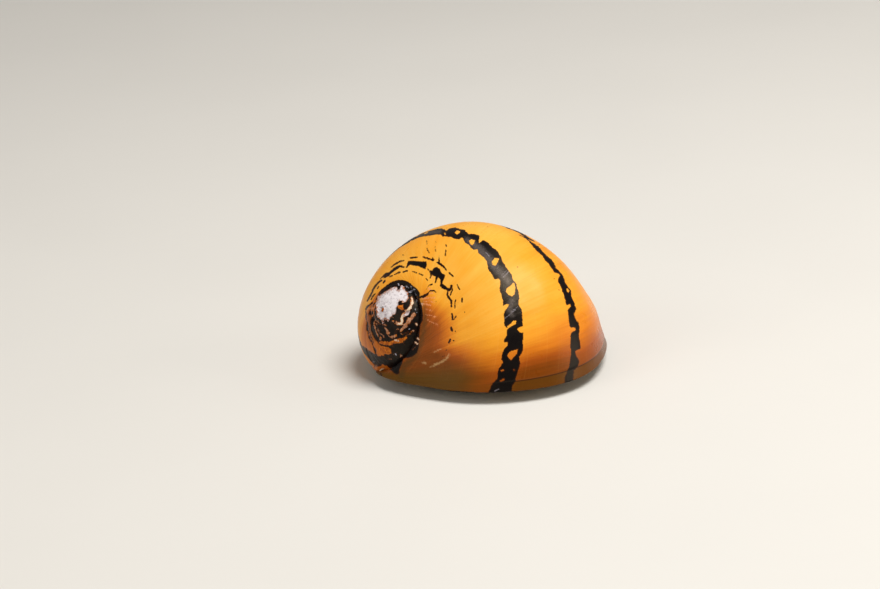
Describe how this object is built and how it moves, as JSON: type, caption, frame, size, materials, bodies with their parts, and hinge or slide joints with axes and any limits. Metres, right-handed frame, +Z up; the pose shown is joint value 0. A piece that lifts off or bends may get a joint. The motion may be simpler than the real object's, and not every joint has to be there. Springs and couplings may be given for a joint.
{
  "type": "nerite snail",
  "caption": "Still life-size model of a racer nerite snail at rest, its domed banded shell drawn down over foot, head and feelers.",
  "frame": {"origin": "on the floor under the middle of the whole snail's bounding box", "axes": "+X the way the snail heads, +Z up, so -Y is its right side, where the spire shows"},
  "size_m": [0.0162, 0.014, 0.0091],
  "materials": {
    "shell": "semi-gloss orange-yellow shell with black spiral bands",
    "spire": "worn, pitted whitish tip inside black and orange streaks",
    "deck": "smooth cream glaze",
    "operculum": "satin limy lid",
    "flesh": "moist dark grey skin",
    "eye": "glossy black"
  },
  "bodies": {
    "root": {"shell_body_whorl": "shell", "shell_spire": "spire", "shell_deck": "deck", "operculum": "operculum", "mantle": "flesh", "foot": "flesh", "head": "flesh", "tentacle_left": "flesh", "tentacle_right": "flesh", "eyestalk_left": "flesh", "eyestalk_right": "flesh", "eye_left": "eye", "eye_right": "eye"}
  },
  "joints": []
}
